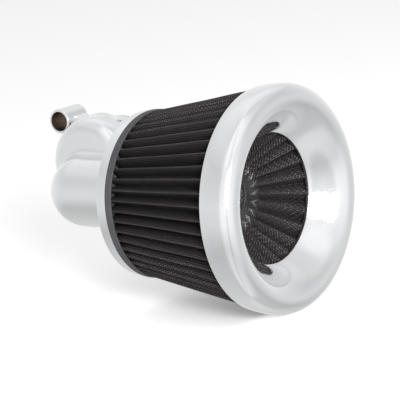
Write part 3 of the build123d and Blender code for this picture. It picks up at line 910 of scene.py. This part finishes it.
def gauze_finish(name, shade, crowns, pitch_mm):
    """Woven cotton soaked in oil: threads cross pitch_mm apart as the product of two cosines of the unrolled
    place, nearly black in the gaps and a little paler on the crowns, with the soft sheen of wet fibre."""
    tree, place = new_finish(name)
    turn = 2000 * pi / pitch_mm
    waves = [calc(tree, "COSINE", calc(tree, "MULTIPLY", part, turn)) for part in unrolled(tree, "Cloth")]
    fuzz = noise(tree, place, 1000 / (pitch_mm / 3), 5.0)
    height = calc(tree, "MULTIPLY_ADD", fuzz, 0.5, calc(tree, "MULTIPLY", *waves))
    skin = blend(tree, ranged(tree, height, (-0.6, 1.2)), linear(shade), linear(crowns))
    close_finish(tree, skin, 0.6, bumped(tree, height, 0.0002), IOR=1.47)


def cloth_finish(name, colours, pitch_mm=1.7, lift=0.35):
    """Plain-woven wire cloth over dark oiled gauze.

    The wires run along and across the folds, pitch_mm apart, a little coarser than real cloth so that they
    show, and each passes over one wire and under the next, lift high. Painted shade, the near-black oil
    colour, darkens the roots of the folds, and the wire's cut ends are bright.
    """
    tree, place = new_finish(name)
    turn = 2000 * pi / pitch_mm
    wires, passes = [], []
    for part in unrolled(tree, "Cloth"):
        phase = calc(tree, "MULTIPLY", part, turn)
        wires.append(calc(tree, "COSINE", phase))
        passes.append(calc(tree, "COSINE", calc(tree, "MULTIPLY", phase, 0.5)))
    over = calc(tree, "MULTIPLY", *passes)
    warp = calc(tree, "MULTIPLY_ADD", over, lift, wires[0])
    weft = calc(tree, "MULTIPLY_ADD", over, -lift, wires[1])
    height = calc(tree, "MAXIMUM", warp, weft)
    ridge, bare = unrolled(tree, "Relief")
    wire = ranged(tree, height, (0.45, 0.75), interpolation_type="SMOOTHSTEP")
    dust = noise(tree, place, 120.0, 4.0)
    tone = blend(tree, dust, linear(colours.wire), linear(colours.dusty_wire))
    bright = blend(tree, bare, tone, linear(colours.bare_wire))
    woven = blend(tree, wire, linear(colours.cotton), bright)
    # painted shade: the roots of the folds are darkened towards the near-black oil colour, in place of the
    # shade that falls in them
    skin = blend(tree, ranged(tree, ridge, (0.1, 0.95), (0.2, 1.0)), linear(colours.oil), woven)
    rough = ranged(tree, wire, to=(0.85, 0.38))
    metal = ranged(tree, wire, to=(0.0, 0.75))
    close_finish(tree, skin, rough, bumped(tree, height, 0.00035), Metallic=metal)


class AIRCLEANER_OT_finishes(Operator):
    """Makes the finishes that the pieces use"""

    bl_idname = "air_cleaner.finishes"
    bl_label = "Finishes"

    def execute(self, context):
        c = context.scene.air_cleaner_colours
        chrome_finish("Chromed casting", c.chrome, 16, 0.0003, 0.17)
        chrome_finish("Chromed spinning", c.chrome, 40, 0.0003, 0.10)
        chrome_finish("Chromed bolt", c.chrome, 12, 0.00005, 0.22)
        plate_finish("Chromed plate", c)
        metal_finish("Machined aluminium", c.aluminium, 0.3, 0.5)
        metal_finish("Zinc plated steel", c.zinc, 0.25, 0.6)
        metal_finish("Blackened steel", c.black_steel, 0.4, 0.6)
        rubber_finish("Grey urethane", c.base_rubber, c.bloom, 0.62, 0.7)
        rubber_finish("Black urethane", c.tip_rubber, c.bloom, 0.5, 0.7)
        rubber_finish("Nitrile rubber", c.seal_rubber, c.bloom, 0.45, 0.5)
        fibre_finish("Pressed fibre", c.gasket, c.fibre, 1.4)
        gauze_finish("Oiled gauze", c.cotton, c.cotton_thread, 1.1)
        cloth_finish("Wire cloth", c)
        return {"FINISHED"}


class AIRCLEANER_OT_plate(Operator):
    """Finishes the backing plate, its seals and the fixings in the elbow"""

    bl_idname = "air_cleaner.plate"
    bl_label = "Backing plate and fixings"

    def execute(self, context):
        for node, finish in (
            ("backing_plate", "Chromed plate"),
            ("throttle_gasket", "Pressed fibre"),
            ("spigot_o_ring", "Nitrile rubber"),
            ("hood_grub_screws", "Blackened steel"),
            ("spider", "Machined aluminium"),
            ("spider_screws", "Blackened steel"),
            ("filter_post", "Machined aluminium"),
            ("clamp_plate", "Zinc plated steel"),
        ):
            finish_node(node, bpy.data.materials[finish])
        return {"FINISHED"}


# ---------------------------------------------------------------- stage
# four soft boxes round the studio's walls with greyer gaps between them, as (share of a turn, brightness)
WALLS_ROUND = (
    (0.00, 0.80), (0.10, 0.74), (0.20, 0.76), (0.27, 1.00), (0.35, 1.00), (0.375, 0.80),
    (0.39, 0.80), (0.41, 1.00), (0.50, 0.95), (0.57, 0.74), (0.66, 0.70), (0.76, 0.86),
    (0.90, 0.90), (1.00, 0.80),
)
# a grey floor, white walls and a white ceiling, as (share from straight down to straight up, brightness)
WALLS_BY_HEIGHT = (
    (0.00, 0.80), (0.22, 0.70), (0.38, 0.95), (0.50, 1.00), (0.60, 0.94), (0.76, 0.86),
    (0.86, 1.00), (1.00, 1.00),
)


class AIRCLEANER_OT_stage(Operator):
    """Lays the floor and sets the lights, the studio's walls and the camera"""

    bl_idname = "air_cleaner.stage"
    bl_label = "Stage"

    def execute(self, context):
        s = context.scene.air_cleaner_stage
        c = context.scene.air_cleaner_colours
        context.scene.view_settings.view_transform = "Standard"
        half = s.floor_size / 2
        low = CAD_BOX[0][2]
        mesh = bpy.data.meshes.new("floor")
        corners = [(-half, -half, low), (half, -half, low), (half, half, low), (-half, half, low)]
        mesh.from_pydata(corners, [], [(0, 1, 2, 3)])
        tree, place = new_finish("Paper")
        lit_paper = {"Emission Color": (1, 1, 1, 1), "Emission Strength": s.floor_glow}
        fibre = bumped(tree, noise(tree, place, 500.0, 4.0), 0.00005)
        close_finish(tree, linear(c.floor), 0.9, fibre, **lit_paper)
        mesh.materials.append(bpy.data.materials["Paper"])
        floor = bpy.data.objects.new("floor", mesh)
        context.scene.collection.objects.link(floor)
        floor.visible_glossy = False  # metal mirrors the studio's own grey floor, with no hard edge
        self.walls(context, s)
        self.light(context, "key_light", (1.5, -1.2, 0.5), 0.6, s.key_power, True)
        self.light(context, "top_light", (-0.3, -0.5, 1.5), 0.9, s.top_power, False)
        back = Vector(s.camera_back).normalized()
        right = Vector(s.camera_right)
        right = (right - right.dot(back) * back).normalized()
        camera = bpy.data.objects.new("camera", bpy.data.cameras.new("camera"))
        context.scene.collection.objects.link(camera)
        camera.data.lens = s.lens
        camera.data.sensor_width = 36.0
        camera.data.clip_end = 50.0
        turn = Matrix((right, back.cross(right), back)).transposed().to_4x4()
        camera.matrix_world = Matrix.Translation(Vector(s.camera_place)) @ turn
        context.scene.camera = camera
        return {"FINISHED"}

    def light(self, context, name, place, size, power, mirrored):
        """Square soft light that faces the object."""
        lamp = bpy.data.lights.new(name, "AREA")
        lamp.size = size
        lamp.energy = power
        made = bpy.data.objects.new(name, lamp)
        context.scene.collection.objects.link(made)
        aim = (CAD_BOX[0] + CAD_BOX[1]) / 2 - Vector(place)
        turn = aim.to_track_quat("-Z", "Y").to_matrix().to_4x4()
        made.matrix_world = Matrix.Translation(Vector(place)) @ turn
        made.visible_glossy = mirrored

    def walls(self, context, s):
        """Studio walls for the metal to mirror: brightness by compass direction times that by height."""
        world = bpy.data.worlds.new("studio")
        context.scene.world = world
        world.use_nodes = True
        tree = world.node_tree
        tree.nodes.clear()
        coords = add(tree, "ShaderNodeTexCoord").outputs["Generated"]
        parts = add(tree, "ShaderNodeSeparateXYZ", {"Vector": coords}).outputs
        # compass direction as a share of a turn, from 0 at -X through -Y at 0.25 and +X at 0.5
        west = calc(tree, "MULTIPLY", parts["X"], -1.0)
        south = calc(tree, "MULTIPLY", parts["Y"], -1.0)
        compass = calc(tree, "FRACT", calc(tree, "DIVIDE", calc(tree, "ARCTAN2", south, west), 2 * pi))
        round_walls = self.ramp(tree, compass, WALLS_ROUND)
        by_height = self.ramp(tree, ranged(tree, parts["Z"], (-1.0, 1.0)), WALLS_BY_HEIGHT)
        lit = blend(tree, 1.0, round_walls, by_height, blend_type="MULTIPLY")
        paths = add(tree, "ShaderNodeLightPath").outputs
        strength = ranged(tree, paths["Is Glossy Ray"], to=(s.sky, s.mirrored))
        walls = add(tree, "ShaderNodeBackground", {"Color": lit, "Strength": strength}).outputs[0]
        white = add(tree, "ShaderNodeBackground", {"Color": (1, 1, 1, 1), "Strength": 1.0}).outputs[0]
        both = add(tree, "ShaderNodeMixShader", {0: paths["Is Camera Ray"], 1: walls, 2: white}).outputs[0]
        add(tree, "ShaderNodeOutputWorld", {"Surface": both})

    def ramp(self, tree, value, stops):
        """Grey ramp of (position, brightness) stops."""
        made = add(tree, "ShaderNodeValToRGB", {"Fac": value})
        elements = made.color_ramp.elements
        for position, grey in stops[1:-1]:
            elements.new(position).color = (grey, grey, grey, 1)
        for end, (position, grey) in ((elements[0], stops[0]), (elements[len(stops) - 1], stops[-1])):
            end.position, end.color = position, (grey, grey, grey, 1)
        return made.outputs["Color"]


# ---------------------------------------------------------------- panel and order of work
STEPS = (
    AIRCLEANER_OT_finishes,
    AIRCLEANER_OT_elbow,
    AIRCLEANER_OT_plate,
    AIRCLEANER_OT_cone,
    AIRCLEANER_OT_throat,
    AIRCLEANER_OT_moulded_ends,
    AIRCLEANER_OT_bell,
    AIRCLEANER_OT_bolt,
    AIRCLEANER_OT_stage,
)
GROUPS = {
    "air_cleaner_elbow": ElbowSizes,
    "air_cleaner_packs": PackSizes,
    "air_cleaner_bell": BellSizes,
    "air_cleaner_ends": EndSizes,
    "air_cleaner_bolt": BoltSizes,
    "air_cleaner_colours": FinishColours,
    "air_cleaner_stage": StageSettings,
}


class AIRCLEANER_PT_panel(Panel):
    """Lists the steps in the order in which they are run"""

    bl_idname = "AIRCLEANER_PT_panel"
    bl_label = "Air cleaner"
    bl_space_type = "VIEW_3D"
    bl_region_type = "UI"
    bl_category = "Air cleaner"

    def draw(self, context):
        for step in STEPS:
            self.layout.operator(step.bl_idname)
        for group, kind in GROUPS.items():
            box = self.layout.box()
            for key in kind.__annotations__:
                box.prop(getattr(context.scene, group), key)


def register():
    for kind in (*GROUPS.values(), *STEPS, AIRCLEANER_PT_panel):
        bpy.utils.register_class(kind)
    for group, kind in GROUPS.items():
        setattr(bpy.types.Scene, group, PointerProperty(type=kind))


def unregister():
    for group in GROUPS:
        delattr(bpy.types.Scene, group)
    for kind in (AIRCLEANER_PT_panel, *reversed(STEPS), *GROUPS.values()):
        bpy.utils.unregister_class(kind)


def main():
    register()
    for step in STEPS:
        family, name = step.bl_idname.split(".")
        getattr(getattr(bpy.ops, family), name)()


if __name__ == "__main__":
    main()
